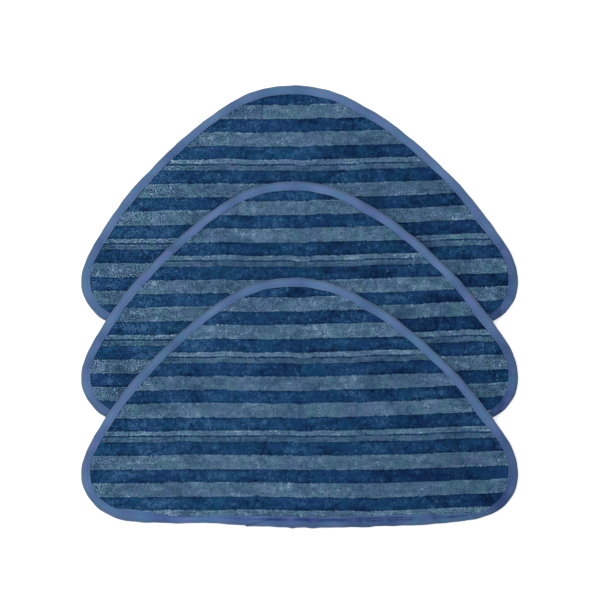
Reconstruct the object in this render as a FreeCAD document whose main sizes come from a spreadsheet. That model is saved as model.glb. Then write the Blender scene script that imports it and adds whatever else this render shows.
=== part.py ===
import FreeCAD, Part

import math
import os

import Sketcher
from FreeCAD import Placement, Rotation, Vector

# Three washable steam-mop pads, fanned on a flat surface, face up. Each pad is a rounded triangle sewn from a
# striped face cloth, an absorbent core and a loop backing, with a folded tape round its edge. The rear pad lies
# flat. The middle pad lies on it and bends down to the surface over its front edge, and the front pad lies on
# both. +X runs across the pads, +Y towards their tips, +Z up, and lengths are in millimetres.
#
# Each piece is a stretch of the pad's plan between two heights of its thickness. The plan is the pad's outline,
# set in from the edge by some distance. The heights are measured from the pad's underside and follow its bends.

SIZES = {
    # Plan: a tip, two corners and the long arcs between them, from the middle of the front edge.
    "corner_radius": 33.5,
    "corner_spacing": 233.0,
    "tip_radius": 86.3,
    "tip_height": 85.0,
    "tip_shift": 4.0,
    "side_radius": 290.0,
    "front_radius": 1650.0,
    # Distances in from the edge.
    "lap_inset": -0.8,
    "edge_inset": 0.0,
    "tape_inset": 0.7,
    "seam_outer_inset": 4.6,
    "seam_inner_inset": 5.4,
    "face_window_inset": 7.0,
    "back_window_inset": 8.0,
    # Heights above the underside.
    "underside": 0.0,
    "bobbin_top": 0.35,
    "back_tape_top": 0.7,
    "backing_top": 1.8,
    "core_top": 4.0,
    "face_tape_bottom": 5.8,
    "needle_bottom": 6.15,
    "pad_top": 6.5,
    # The fan: how far each pad lies in front of the one below, and how it bends down over that pad's edge.
    "pitch": 66.0,
    "pad_gap": 0.3,
    "bend_radius": 45.0,
    "bend_clearance": 1.5,
    # The tape's two ends lap near the middle of the front edge.
    "lap_centre": 3.0,
    "lap_length": 16.0,
    # How far the shapes that only trim others run past them.
    "overshoot": 5.0,
}

PADS = ("rear", "middle", "front")
LAYER_STEP = "(Sizes.pad_top + Sizes.pad_gap)"
PAD_DEPTH = "(Sizes.tip_height + Sizes.tip_radius)"
PAD_WIDTH = "(Sizes.corner_spacing + 2 * Sizes.corner_radius)"

# Sketcher's numbers for a curve's points, and for the sketch's origin and upright axis.
START, END, CENTRE = 1, 2, 3
ORIGIN, UPRIGHT_AXIS = -1, -2
SEEN_FROM_THE_SIDE = Rotation(Vector(1, 1, 1), 120)


def cell(name):
    return "Sizes." + name


def make_sheet(doc):
    sheet = doc.addObject("Spreadsheet::Sheet", "Sizes")
    for row, (name, value) in enumerate(SIZES.items(), start=1):
        sheet.set("A%d" % row, name)
        sheet.set("B%d" % row, str(value))
        sheet.setAlias("B%d" % row, name)
    doc.recompute()


def drive(sketch, name, constraint, expression):
    """Adds a dimension to a sketch, with its value taken from the sheet."""
    sketch.renameConstraint(sketch.addConstraint(constraint), name)
    sketch.setExpression("Constraints." + name, expression)


def join_tangent(sketch, curve, curve_end, other, other_end):
    sketch.addConstraint(Sketcher.Constraint("Tangent", curve, curve_end, other, other_end))


def arc(centre, radius, low, high):
    return Part.ArcOfCircle(Part.Circle(centre, Vector(0, 0, 1), radius), low, high)


def angle(start, end):
    return math.atan2(end.y - start.y, end.x - start.x)


def meeting_point(first, first_reach, second, second_reach):
    """The point at these distances from two others, on the left of the line from the first to the second."""
    span = second - first
    along = span / span.Length
    run = (first_reach ** 2 - second_reach ** 2 + span.Length ** 2) / (2 * span.Length)
    rise = math.sqrt(first_reach ** 2 - run ** 2)
    return first + along * run + Vector(-along.y, along.x, 0) * rise


def draw_plan(sketch, inset):
    """The pad's outline, set in by one of the sheet's distances: six arcs, each tangent to the next."""
    corner_x = SIZES["corner_spacing"] / 2
    corner_reach = SIZES["front_radius"] - SIZES["corner_radius"]
    corner_y = SIZES["front_radius"] - math.sqrt(corner_reach ** 2 - corner_x ** 2)
    tip = Vector(-SIZES["tip_shift"], SIZES["tip_height"], 0)
    left = Vector(-corner_x, corner_y, 0)
    right = Vector(corner_x, corner_y, 0)
    front = Vector(0, SIZES["front_radius"], 0)
    tip_to_side = SIZES["side_radius"] - SIZES["tip_radius"]
    corner_to_side = SIZES["side_radius"] - SIZES["corner_radius"]
    left_side = meeting_point(tip, tip_to_side, left, corner_to_side)
    right_side = meeting_point(right, corner_to_side, tip, tip_to_side)

    arcs = (
        (tip, "tip_radius", angle(right_side, tip), angle(left_side, tip)),
        (left_side, "side_radius", angle(left_side, tip), angle(left_side, left)),
        (left, "corner_radius", angle(left_side, left), angle(front, left)),
        (front, "front_radius", angle(front, left), angle(front, right)),
        (right, "corner_radius", angle(front, right), angle(right_side, right)),
        (right_side, "side_radius", angle(right_side, right), angle(right_side, tip)),
    )
    for centre, radius, low, high in arcs:
        sketch.addGeometry(arc(centre, SIZES[radius] - SIZES[inset], low, high))
    for index, (centre, radius, low, high) in enumerate(arcs):
        join_tangent(sketch, index, END, (index + 1) % len(arcs), START)
        reach = SIZES[radius] - SIZES[inset]
        drive(sketch, "radius_%d" % index, Sketcher.Constraint("Radius", index, reach),
              cell(radius) + " - " + cell(inset))
    tip_arc, left_arc, front_arc, right_arc = 0, 2, 3, 4
    drive(sketch, "tip_shift", Sketcher.Constraint("DistanceX", tip_arc, CENTRE, ORIGIN, START, -tip.x),
          cell("tip_shift"))
    drive(sketch, "tip_height", Sketcher.Constraint("DistanceY", ORIGIN, START, tip_arc, CENTRE, tip.y),
          cell("tip_height"))
    drive(sketch, "left_corner", Sketcher.Constraint("DistanceX", left_arc, CENTRE, ORIGIN, START, corner_x),
          cell("corner_spacing") + " / 2")
    drive(sketch, "right_corner", Sketcher.Constraint("DistanceX", ORIGIN, START, right_arc, CENTRE, corner_x),
          cell("corner_spacing") + " / 2")
    drive(sketch, "front_centre", Sketcher.Constraint("DistanceY", ORIGIN, START, front_arc, CENTRE, front.y),
          cell("front_radius"))
    sketch.addConstraint(Sketcher.Constraint("PointOnObject", front_arc, CENTRE, UPRIGHT_AXIS))


def draw_level(sketch, start, end, bend_before):
    """A level stretch of the side view, tangent to the bend before it."""
    level = sketch.addGeometry(Part.LineSegment(start, end))
    sketch.addConstraint(Sketcher.Constraint("Horizontal", level))
    if bend_before is not None:
        join_tangent(sketch, bend_before, START, level, START)
    return level


def draw_height(sketch, height, bends):
    """One height of a pad, seen from the side, from its front to its back.

    Each bend lifts the pad by one layer, with an arc that curves up and an arc that levels out. The arcs of all
    the layers share their centres, so the layers keep their distance. Gives the first and last level stretches.
    """
    step = SIZES["pad_top"] + SIZES["pad_gap"]
    radius = SIZES["bend_radius"]
    bend_length = math.sqrt(4 * radius * step - step ** 2)
    turn = math.asin(bend_length / (2 * radius))
    start = Vector(-SIZES["overshoot"], SIZES[height], 0)
    levels = []
    bend_before = None
    for bend in range(1, bends + 1):
        lift = SIZES[height] + (bend - 1) * step
        head = Vector(bend * SIZES["pitch"] - SIZES["bend_clearance"], lift + step, 0)
        foot = Vector(head.x - bend_length, lift, 0)
        levels.append(draw_level(sketch, start, foot, bend_before))
        rising = sketch.addGeometry(arc(Vector(foot.x, radius, 0), radius - lift, -math.pi / 2, turn - math.pi / 2))
        falling = sketch.addGeometry(
            arc(Vector(head.x, step - radius, 0), radius + lift, math.pi / 2, math.pi / 2 + turn))
        join_tangent(sketch, levels[-1], END, rising, START)
        join_tangent(sketch, rising, END, falling, END)

        name = "%s_bend_%d_" % (height, bend)
        lift_cell = "(%s + %d * %s)" % (cell(height), bend - 1, LAYER_STEP)
        drive(sketch, name + "rising", Sketcher.Constraint("Radius", rising, radius - lift),
              cell("bend_radius") + " - " + lift_cell)
        drive(sketch, name + "falling", Sketcher.Constraint("Radius", falling, radius + lift),
              cell("bend_radius") + " + " + lift_cell)
        drive(sketch, name + "head", Sketcher.Constraint("DistanceX", ORIGIN, START, falling, CENTRE, head.x),
              "%d * %s - %s" % (bend, cell("pitch"), cell("bend_clearance")))
        drive(sketch, name + "under", Sketcher.Constraint("DistanceY", falling, CENTRE, ORIGIN, START, radius - step),
              cell("bend_radius") + " - " + LAYER_STEP)
        if bend == 1:
            drive(sketch, name + "over", Sketcher.Constraint("DistanceY", ORIGIN, START, rising, CENTRE, radius),
                  cell("bend_radius"))
        start = head
        bend_before = falling
    back = Vector(SIZES["tip_height"] + SIZES["tip_radius"] + SIZES["overshoot"], start.y, 0)
    levels.append(draw_level(sketch, start, back, bend_before))
    if bends == 0:
        drive(sketch, height + "_level", Sketcher.Constraint("DistanceY", ORIGIN, START, levels[0], START, start.y),
              cell(height))
    return levels[0], levels[-1]


def draw_side(sketch, low, high, bends):
    """The closed side view of a pad between two of its heights."""
    low_front, low_back = draw_height(sketch, low, bends)
    high_front, high_back = draw_height(sketch, high, bends)
    for lower, upper, point in ((low_front, high_front, START), (low_back, high_back, END)):
        foot = sketch.getPoint(lower, point)
        head = sketch.getPoint(upper, point)
        upright = sketch.addGeometry(Part.LineSegment(foot, head))
        sketch.addConstraint(Sketcher.Constraint("Coincident", upright, START, lower, point))
        sketch.addConstraint(Sketcher.Constraint("Coincident", upright, END, upper, point))
        sketch.addConstraint(Sketcher.Constraint("Vertical", upright))
    overshoot = SIZES["overshoot"]
    depth = SIZES["tip_height"] + SIZES["tip_radius"]
    drive(sketch, "front_end", Sketcher.Constraint("DistanceX", low_front, START, ORIGIN, START, overshoot),
          cell("overshoot"))
    drive(sketch, "back_end", Sketcher.Constraint("DistanceX", ORIGIN, START, low_back, END, depth + overshoot),
          PAD_DEPTH + " + " + cell("overshoot"))


class Pad:
    """One pad of the fan. The pads below it set how far back it lies and how often it bends."""

    def __init__(self, doc, name, pads_below):
        self.doc = doc
        self.name = name
        self.pads_below = pads_below
        self.solids = {}

    def add(self, kind, name):
        return self.doc.addObject(kind, self.name + "_" + name)

    def front(self):
        """Where the pad's front edge is, with the whole fan, its lap included, centred on the origin."""
        pads_in_front = len(PADS) - 1 - self.pads_below
        fan_depth = "(%d * Sizes.pitch + %s + Sizes.lap_inset)" % (len(PADS) - 1, PAD_DEPTH)
        return "%d * Sizes.pitch - %s / 2" % (pads_in_front, fan_depth)

    def sketch(self, name):
        """A sketch that starts from the middle of the pad's front edge."""
        sketch = self.add("Sketcher::SketchObject", name + "_sketch")
        sketch.setExpression("Placement.Base.y", self.front())
        return sketch

    def plan(self, inset):
        """An upright block of the pad's outline, set in from the edge."""
        if inset not in self.solids:
            sketch = self.sketch(inset)
            draw_plan(sketch, inset)
            block = self.add("Part::Extrusion", inset)
            block.Base = sketch
            block.DirMode = "Normal"
            block.Solid = True
            block.setExpression("LengthFwd", "%d * %s" % (len(PADS), LAYER_STEP))
            block.setExpression("LengthRev", cell("overshoot"))
            self.solids[inset] = block
        return self.solids[inset]

    def sheet(self, low, high):
        """The bent sheet between two heights, wider than the pad."""
        name = low + "_to_" + high
        if name not in self.solids:
            sketch = self.sketch(name)
            sketch.Placement = Placement(sketch.Placement.Base, SEEN_FROM_THE_SIDE)
            draw_side(sketch, low, high, self.pads_below)
            block = self.add("Part::Extrusion", name)
            block.Base = sketch
            block.DirMode = "Normal"
            block.Solid = True
            block.Symmetric = True
            block.setExpression("LengthFwd", PAD_WIDTH + " + 2 * " + cell("overshoot"))
            self.solids[name] = block
        return self.solids[name]

    def tier(self, name, inset, low, high):
        """The stretch of the pad's plan between two heights."""
        tier = self.add("Part::Common", name)
        tier.Base = self.plan(inset)
        tier.Tool = self.sheet(low, high)
        return tier

    def join(self, name, shapes):
        joined = self.add("Part::MultiFuse", name)
        joined.Shapes = shapes
        joined.Refine = True
        return joined

    def cut(self, name, base, tool):
        rest = self.add("Part::Cut", name)
        rest.Base = base
        rest.Tool = tool
        rest.Refine = True
        return rest

    def face_cloth(self):
        """Held down under the tape at its edge, and level with the tape inside it."""
        held = self.tier("face_cloth_edge", "tape_inset", "core_top", "face_tape_bottom")
        pile = self.tier("face_cloth_window", "face_window_inset", "face_tape_bottom", "pad_top")
        return self.join("face_cloth", [held, pile])

    def core(self):
        return self.tier("core", "tape_inset", "backing_top", "core_top")

    def backing(self):
        """Held down under the tape at its edge, and level with the tape inside it."""
        held = self.tier("backing_edge", "tape_inset", "back_tape_top", "backing_top")
        loops = self.tier("backing_window", "back_window_inset", "underside", "back_tape_top")
        return self.join("backing", [held, loops])

    def seam(self, name, low, high):
        """One thread of the seam, let into the tape."""
        inside = self.tier(name + "_outside", "seam_outer_inset", low, high)
        return self.cut(name, inside, self.plan("seam_inner_inset"))

    def lap(self):
        """The bulge in the edge where the tape's ends lap."""
        span = self.add("Part::Box", "lap_span")
        span.setExpression("Length", cell("lap_length"))
        span.setExpression("Width", "2 * " + cell("face_window_inset"))
        span.setExpression("Height", LAYER_STEP)
        span.setExpression("Placement.Base.x", cell("lap_centre") + " - " + cell("lap_length") + " / 2")
        span.setExpression("Placement.Base.y", self.front() + " - " + cell("face_window_inset"))
        lap = self.add("Part::MultiCommon", "lap")
        lap.Shapes = [span, self.plan("lap_inset"), self.sheet("back_tape_top", "face_tape_bottom")]
        return lap

    def binding(self, contents):
        """The folded tape: what is left of the pad's full shape round the pieces that it holds."""
        full = self.tier("full_pad", "edge_inset", "underside", "pad_top")
        outside = self.join("full_pad_with_lap", [full, self.lap()])
        return self.cut("binding", outside, self.join("contents", contents))

    def pieces(self):
        contents = [
            self.face_cloth(),
            self.core(),
            self.backing(),
            self.seam("needle_thread", "needle_bottom", "pad_top"),
            self.seam("bobbin_thread", "underside", "bobbin_top"),
        ]
        return contents + [self.binding(contents)]


def check(doc, pieces):
    for made in doc.Objects:
        if "Invalid" in made.State or "Error" in made.State:
            raise RuntimeError("%s failed: %s" % (made.Name, made.State))
    for piece in pieces:
        if piece.Shape.isNull() or not piece.Shape.isValid() or len(piece.Shape.Solids) != 1:
            raise RuntimeError("%s is not one valid solid" % piece.Name)


def main():
    doc = FreeCAD.newDocument("steam_mop_pads")
    make_sheet(doc)
    pieces = []
    for pads_below, name in enumerate(PADS):
        pieces += Pad(doc, name, pads_below).pieces()
    doc.recompute()
    check(doc, pieces)
    os.makedirs("parts", exist_ok=True)
    for piece in pieces:
        piece.Label = piece.Name
        piece.Shape.exportStep(os.path.join("parts", piece.Label + ".step"))
        print("%-22s %9.1f mm3  %s" % (piece.Label, piece.Shape.Volume, piece.Shape.BoundBox))


main()
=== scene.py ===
import math

import bpy
import numpy as np
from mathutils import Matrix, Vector
from mathutils.geometry import delaunay_2d_cdt


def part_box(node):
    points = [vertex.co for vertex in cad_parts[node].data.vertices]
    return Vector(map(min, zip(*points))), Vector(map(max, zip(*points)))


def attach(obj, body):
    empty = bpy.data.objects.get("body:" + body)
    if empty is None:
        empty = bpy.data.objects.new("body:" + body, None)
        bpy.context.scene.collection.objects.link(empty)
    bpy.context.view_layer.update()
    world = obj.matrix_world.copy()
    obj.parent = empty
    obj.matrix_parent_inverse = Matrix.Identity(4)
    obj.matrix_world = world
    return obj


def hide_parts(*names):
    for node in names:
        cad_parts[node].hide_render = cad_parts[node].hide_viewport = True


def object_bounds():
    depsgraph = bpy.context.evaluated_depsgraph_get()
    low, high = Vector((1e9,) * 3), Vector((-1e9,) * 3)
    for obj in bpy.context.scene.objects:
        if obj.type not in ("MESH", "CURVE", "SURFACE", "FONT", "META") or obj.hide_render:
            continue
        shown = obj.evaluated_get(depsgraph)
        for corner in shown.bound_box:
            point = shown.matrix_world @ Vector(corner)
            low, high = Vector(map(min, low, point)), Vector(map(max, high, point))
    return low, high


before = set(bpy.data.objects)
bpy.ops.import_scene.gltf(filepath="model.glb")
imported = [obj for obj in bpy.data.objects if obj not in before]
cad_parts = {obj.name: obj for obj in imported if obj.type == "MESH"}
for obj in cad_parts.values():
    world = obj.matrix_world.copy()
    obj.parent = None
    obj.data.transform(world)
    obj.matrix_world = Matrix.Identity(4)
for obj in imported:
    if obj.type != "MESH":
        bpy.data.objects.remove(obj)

# Three steam mop pads, fanned on a white floor. Each is modelled flat, in millimetres: X across, Y from its
# front edge's middle to its tip, and heights above its underside. It is then bent over the pads below it.
# Places along the edge run anticlockwise from the right end of the tip's arc, and insets are from the edge.

cad_low, cad_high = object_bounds()

TURN = 2 * math.pi
MM = 0.001

# The outline, as in the CAD model: arcs round three corners, and the long arcs that touch them.
CORNER_RADIUS = 33.5
CORNER_X = 116.5
TIP_RADIUS = 86.3
TIP_CENTRE = (-4.0, 85.0)
SIDE_RADIUS = 290.0
FRONT_RADIUS = 1650.0
PAD_HALF_WIDTH = CORNER_X + CORNER_RADIUS
PAD_DEPTH = TIP_CENTRE[1] + TIP_RADIUS

# Heights above the underside, as in the CAD model.
BACKING_TOP = 1.8
CORE_TOP = 4.0
PAD_TOP = 6.5

# The fan and its bends, as in the CAD model, and how far past the next pad the pile is pressed down.
PITCH = 66.0
LAYER_STEP = 6.8
BEND_RADIUS = 45.0
BEND_CLEARANCE = 1.5
BEND_LENGTH = math.sqrt(4 * BEND_RADIUS * LAYER_STEP - LAYER_STEP ** 2)
TOP_PAD_BENDS = 2
COVER_MARGIN = 2.0

# The folded tape's thickness, and its legs on the face and the back.
TAPE = 0.7
FACE_LEG = 6.1
BACK_LEG = 8.0

# The tape's middle line: its heights on the back and the face, and where its legs turn into the fold.
TAPE_LOW = 0.38
TAPE_HIGH = 6.0
TAPE_MIDDLE = (TAPE_LOW + TAPE_HIGH) / 2
TAPE_HALF_RISE = (TAPE_HIGH - TAPE_LOW) / 2
FOLD_START = 3.6
FOLD_REACH = FOLD_START - TAPE / 2

# Above this height the tape is on the face's side, and the change is this steep.
FACE_SIDE = 4.5
FACE_SIDE_STEEPNESS = 3

# The tape is thinner at its edges: the shares of its thickness at the last points of its line.
EDGE_THINNING = (0.45, 0.9)

# The seam's stitches, the tape's stations in each, and the tape's groove, deeper at each needle hole.
SEAM_INSET = 4.6
STITCH_PITCH = 3.2
STITCH_LENGTH = 2.7
THREAD_RADIUS = 0.19
THREAD_ROUND = 1.2
STATIONS_A_STITCH = 3
GROOVE_WIDTH = 0.8
GROOVE_DEPTH = 0.22
GROOVE_STITCH_DEPTH = 0.06

# The tape puffs up between stitches beside the seam: how far from it, how wide and what share.
PUFFS = ((-1.9, 1.3, 1.0), (1.5, 0.8, 0.6))
PUFF_RISE = 0.05

# Where the tape is wider on the face, and where the edge is pulled in: each place, its width and how much.
LEG_SWELLS = (
    (35, 18, 0.6), (107, 18, -0.4), (140, 14, 0.2), (200, 25, -0.3), (285, 16, 0.5), (308, 13, 2.2),
    (338, 14, -1.2), (395, 42, 1.4), (480, 40, 1.1), (545, 16, -0.8), (592, 12, 0.9), (618, 8, -0.4),
    (640, 12, 1.4), (665, 10, 0.2), (738, 10, -0.6), (752, 8, 0.9),
)
EDGE_SHIFTS = (
    (15, 30, 0.3), (48, 14, 0.2), (70, 12, -0.2), (115, 40, 0.3), (148, 12, 0.3), (166, 7, 0.4),
    (186, 14, -0.4), (242, 7, 0.6), (260, 10, -0.4), (276, 8, 0.3), (290, 8, 0.5), (314, 8, -0.5),
    (359, 17, 1.4), (375, 8, 0.4), (396, 12, 0.8), (418, 14, 0.3), (445, 35, 0.15), (500, 28, -0.8),
    (548, 13, 1.2), (582, 10, -0.2), (600, 10, 0.6), (614, 10, -0.3), (645, 16, 0.3), (688, 14, 0.4),
    (738, 16, -0.5),
)

# Shifts of the lap's edge alone, from the front edge's middle: the lumps at its end and its knot.
LAP_LUMPS = ((-5, 2.5, -0.8), (9, 4, -0.5))

# Waves in the tape's width, the edge's place and the tape's tone: their size, numbers of crests and seed.
LEG_WAVE = (0.18, (19, 33, 47), 31)
EDGE_WAVE = (0.12, (23, 41, 67), 33)
TONE_WAVE = (0.11, (9, 16, 29), 34)

# The lap of the tape's ends, from the front edge's middle: the upper one's slanting start and its end, its
# face leg, its thinning, its gap, the heights where lift and slant start, and the lower one's cut.
LAP_START = -15.0
LAP_SLANT = 24.0
LAP_END = 51.0
LAP_LEG = 5.1
LAP_TAPER = 3.0
LAP_THINNEST = 0.15
LAP_STATIONS = 80
LAP_GAP = 0.04
LIFT_START = 0.8
SLANT_BOTTOM = 2
CUT_END = -3.0

# How much further out than the edge the CAD model's lap is.
LAP_PROUD = 0.8

# The tape's face has rolled down over the edge: how far, how far before the cut end it starts, and the
# lengths over which it grows, and fades to just past the right corner.
ROLL_DROP = 1.2
ROLL_LEAD = 17
ROLL_GROWTH = 45
ROLL_FADE = 50
ROLL_PAST_CORNER = 45

# The crease along the tape: places from the front edge's middle, how far in it is and how sharp.
TAPE_CREASES = (
    (-90, 4.4, 0.0), (-70, 4.4, 0.25), (-40, 4.0, 0.3), (-30, 3.9, 0.5), (-21, 4.2, 1.0), (-10, 4.3, 0.6),
    (5, 4.4, 1.0), (70, 4.4, 1.0), (85, 4.3, 1.4), (112, 4.2, 1.4), (126, 5.1, 0.8), (148, 5.3, 0.6),
    (162, 5.3, 0.2), (180, 5.3, 0.0),
)
TAPE_CREASE_WIDTH = 0.9
TAPE_CREASE_DEPTH = 0.2

# The tape's tone, and its painted shade: in the seam's groove, less so on stitches; where it has rolled away
# from the light, to just past the crease; in the crease; inside it past the cut end, between tape and pile;
# and the shadow at the lap's edge. The right is lighter.
TAPE_TONE = 0.5
GROOVE_SHADE = 0.12
GROOVE_STITCH_SHARE = 0.3
ROLLED_SHADE = 0.27
ROLLED_PAST_CREASE = 0.5
CREASE_SHADE = 0.45
INNER_SHADE = 0.14
LAP_EDGE_SHADE = 0.3
LAP_EDGE_WIDTH = 1.6
RIGHT_LIGHT = 0.03
RIGHT_LIGHT_X = 60

# The tape is bluer from the front edge's left end to this far past its middle, with soft ends.
BLUE_PAST_MIDDLE = 30
BLUE_ENDS = (20, 50)

# The layers inside the tape: how far in they start and the tape ends, their gap to the fold, their spacing.
CLOTH_INSET = 2.7
CORE_INSET = 3.0
UNDER_TAPE = FACE_LEG - 1
FOLD_GAP = 0.08
CLOTH_SPACING = 1.6
CORE_SPACING = 4.0

# The face cloth's ground: its top, in the open and under the tape, its bottom, its grain and its tones.
GROUND_TOP = 5.05
GROUND_UNDER_TAPE = PAD_TOP - 2 * TAPE + 0.2
GROUND_BOTTOM = CORE_TOP + 0.05
GRAIN_SIZES = (1.7, 9)
GRAIN = 0.08
GROUND_TONES = {"light": 0.8, "bright": 0.9, "dull": 0.6}

# The wadding: its distance from the cloths, its lumps, and how far the seam pinches it above and below.
WADDING_GAP = 0.12
WADDING_LUMP = 0.08
WADDING_LUMP_SIZE = 12
PINCH_WIDTH = 3.5
PINCH_ABOVE = 0.25
PINCH_BELOW = 0.15

# The backing's underside: its height and grain, and its height over the tape's leg and a little past it.
BACKING_LOW = 0.14
BACKING_GRAIN = 0.12
BACKING_GRAIN_SIZE = 1.6
BACKING_OVER_TAPE = TAPE + 0.12
BACKING_CLEARANCE = 0.3

# The pile's loops: their spacing, how far clumps and single loops are out of place, the mean and spread of
# their length and width, their curl, and their tops, which are lower under the next pad.
LOOP_SPACING = 1.36
CLUMP_SIZE = 2.6
CLUMP_DRIFT = 0.35
LOOP_JITTER = 0.2
LOOP_LENGTH = (2.3, 0.3)
LOOP_WIDTH = (1.25, 0.12)
LOOP_CURL = 0.9
CURL_CENTRE = 0.06
LOOP_ROOT = GROUND_TOP - 0.2
TOP_SPREAD = 0.12
TOP_WAVE = 0.15
TOP_WAVE_SIZE = 5
COVERED_TOP = PAD_TOP - 0.05
TAPE_CLEARANCE = 0.1

# Most loops lie along the stripes or across, and a share any way. Beside a stripe's edge they lie along it.
LEAN_SPREAD = 0.3
EDGE_LEAN_SPREAD = 0.25
ANY_LEAN_SHARE = 0.35
EDGE_MARGIN = 0.5
EDGE_BAND = 0.8

# The tone's streaks and patches, and the width of the painted shadow, a darker band at a stripe's edge.
STREAK_SIZE = 2.2
STREAK_STRETCH = 4
PATCH_SIZE = 18
PATCH_FLATNESS = 2
EDGE_SHADE_WIDTH = 1.1

# Each kind of stripe's loops: their height and tone.
LIGHT_STRIPES = {"light": (6.75, 0.58), "bright": (6.75, 0.7), "dull": (6.35, 0.34)}
DARK_STRIPES = {"dark": (6.0, 0.485)}

# How much the tone varies by loop, clump, streak and patch, how far it drops at a stripe's edge, a painted
# shadow of the taller light loops, and to the right, painted shade for the light falling off, and the share
# of flecks and how much brighter they are.
LIGHT_LOOK = dict(
    loop=0.07, clump=0.18, streak=0.14, patch=0.13, edge=0.0, right=0.05, flecks=0.02, fleck=0.26)
DARK_LOOK = dict(
    loop=0.12, clump=0.23, streak=0.2, patch=0.22, edge=0.27, right=0.17, flecks=0.035, fleck=0.42)

# The crease from the packet: where it is, and how far it presses down the ground and the loops.
PACKET_CREASE_X = -6.5
PACKET_CREASE_WIDTH = 1.6
GROUND_PRESS = 0.3
LOOP_PRESS = 0.45

# To its right the stripes climb, after a dip: how far from the crease, how wide and how deep.
SKEW_RISE = 3.4
CREASE_DIP = (8, 7, 0.8)

# Waves in the stripes: their height, size, flatness and seed.
STRIPE_WAVES = ((0.35, 26, 0.4, 11), (0.3, 9, 1, 12))

# Where the cloth was stretched before it was cut: each place, its width and depth, and the stripes' shift.
STRETCHES = (
    (-50, 45, 55, 50, 0.8), (-70, 89, 40, 12, 0.7), (58, 20, 50, 38, -2.0), (110, 82, 30, 22, 1.5),
    (25, 112, 30, 16, -0.7),
)

# The stripes and their widths, from the front edge's tape towards the tip.
STRIPES_START = 4.1
FIRST_STRIPE = ("bright", 7.6)
STRIPES = (
    ("dark", 9.0), ("light", 9.7), ("dark", 9.0), ("light", 9.9), ("dark", 9.1),
    ("dull", 3.4), ("line", 1.0), ("bright", 3.2),
)
STRIPE_REPEATS = 3
STRIPE_NAMES, stripe_widths = zip(FIRST_STRIPE, *STRIPES * STRIPE_REPEATS)
STRIPE_TOPS = STRIPES_START + np.cumsum(stripe_widths)

# Each thread's height, and how far its stitches' ends sink into the tape.
THREADS = {"needle": (6.12, 0.3), "bobbin": (0.24, -0.3)}

# The picture, the light and the floor, in metres.
VIEW_WIDTH = 0.412
VIEW_OFFSET = (0.0001, 0.0045)
CAMERA_HEIGHT = 4.0
SENSOR_WIDTH = 36.0
WORLD_LIGHT = 0.8
SOFTBOX_SIZE = (1.2, 1.2)
SOFTBOX_POWER = 11.5
SOFTBOX_PLACE = Vector((-0.8, 0.5, 1.4))
FLOOR_HALF_WIDTH = 4.0
FLOOR_GLOW = 0.5


def joint_heading(first, second):
    """The direction from two tangent arcs' centres to the point where they meet."""
    (tight, _), (wide, _) = sorted((first, second), key=lambda arc: arc[1])
    return math.atan2(tight[1] - wide[1], tight[0] - wide[0])


def meeting_point(first, first_reach, second, second_reach):
    """The point at these distances from two others, on the left going from the first."""
    first, span = Vector(first), Vector(second) - Vector(first)
    along = span.normalized()
    run = (first_reach ** 2 - second_reach ** 2 + span.length_squared) / (2 * span.length)
    rise = math.sqrt(first_reach ** 2 - run ** 2)
    return tuple(first + along * run + Vector((-along.y, along.x)) * rise)


class Outline:
    """The pad's edge: six arcs, anticlockwise from the tip, each tangent to the next."""

    def __init__(self):
        corner_y = FRONT_RADIUS - math.sqrt((FRONT_RADIUS - CORNER_RADIUS) ** 2 - CORNER_X ** 2)
        left, right = (-CORNER_X, corner_y), (CORNER_X, corner_y)
        to_tip, to_corner = SIDE_RADIUS - TIP_RADIUS, SIDE_RADIUS - CORNER_RADIUS
        left_side = meeting_point(TIP_CENTRE, to_tip, left, to_corner)
        right_side = meeting_point(right, to_corner, TIP_CENTRE, to_tip)
        arcs = [
            (TIP_CENTRE, TIP_RADIUS), (left_side, SIDE_RADIUS), (left, CORNER_RADIUS),
            ((0.0, FRONT_RADIUS), FRONT_RADIUS), (right, CORNER_RADIUS), (right_side, SIDE_RADIUS),
        ]
        self.centres, self.radii = (np.array(values) for values in zip(*arcs))
        self.starts = np.array([joint_heading(arcs[index - 1], arc) for index, arc in enumerate(arcs)])
        self.sweeps = (np.roll(self.starts, -1) - self.starts) % TURN
        self.ends = np.cumsum(self.radii * self.sweeps)
        self.length = self.ends[-1]
        left_corner = 2
        self.front_start, self.front_end, self.right_corner_end = self.ends[left_corner:left_corner + 3]
        self.front_middle = (self.front_start + self.front_end) / 2

    def place(self, along, inset):
        """The point this far along the edge and this far in from it."""
        along = np.mod(along, self.length)
        arc = np.searchsorted(self.ends[:-1], along, side="right")
        heading = self.starts[arc] + self.sweeps[arc] - (self.ends[arc] - along) / self.radii[arc]
        reach = self.radii[arc] - inset
        return self.centres[arc, 0] + reach * np.cos(heading), self.centres[arc, 1] + reach * np.sin(heading)

    def nearest(self, x, y):
        """Where along the edge each point is nearest to, and how far inside it the point lies."""
        nearest = np.zeros(np.shape(x))
        depth = np.full(np.shape(x), np.inf)
        for centre, radius, start, sweep, end in zip(
                self.centres, self.radii, self.starts, self.sweeps, self.ends):
            across, up = x - centre[0], y - centre[1]
            turned = (np.arctan2(up, across) - start) % TURN
            reach = radius - np.hypot(across, up)
            closer = (turned <= sweep) & (reach < depth)
            depth = np.where(closer, reach, depth)
            nearest = np.where(closer, end - radius * (sweep - turned), nearest)
        return nearest, depth

    def inset(self, x, y):
        return self.nearest(x, y)[1]


OUTLINE = Outline()


def rings(along, size, harmonics, seed):
    """A wave round the edge, about this size, with these numbers of crests."""
    phases = np.random.default_rng(seed).uniform(0, TURN, len(harmonics))
    share = TURN * along / OUTLINE.length
    waves = [np.sin(crests * share + phase) for crests, phase in zip(harmonics, phases)]
    return size * (sum(waves) / math.sqrt(len(harmonics)))


def smooth(share):
    """A share from 0 to 1, eased at both ends."""
    return share ** 2 * (3 - 2 * share)


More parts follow.
